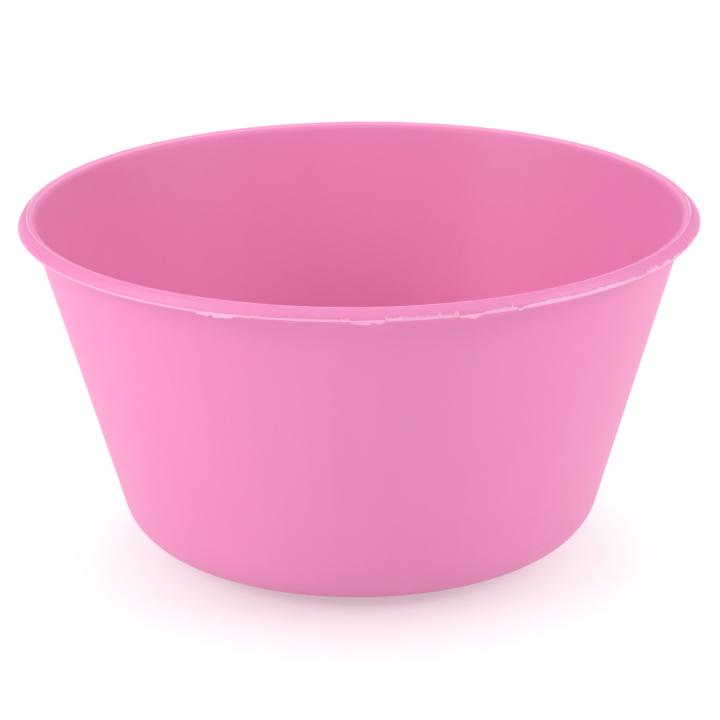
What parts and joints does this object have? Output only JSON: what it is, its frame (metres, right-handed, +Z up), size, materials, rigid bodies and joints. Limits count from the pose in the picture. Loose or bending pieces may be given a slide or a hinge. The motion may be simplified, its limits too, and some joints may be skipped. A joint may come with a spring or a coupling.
{
  "type": "mortar mixing tub",
  "caption": "Round tapered plastic tub for mixing mortar by hand, with a flat base, an outward lip and a thin fringe of moulding flash.",
  "frame": {"origin": "centre of the base, at ground level", "axes": "+Z up along the tub's axis of symmetry; X and Y are alike, because the tub is round"},
  "size_m": [0.4, 0.4, 0.1995],
  "materials": {
    "tub_plastic": "satin",
    "flash_plastic": "satin"
  },
  "bodies": {
    "root": {"tub": "tub_plastic", "rim_flash": "flash_plastic"}
  },
  "joints": []
}
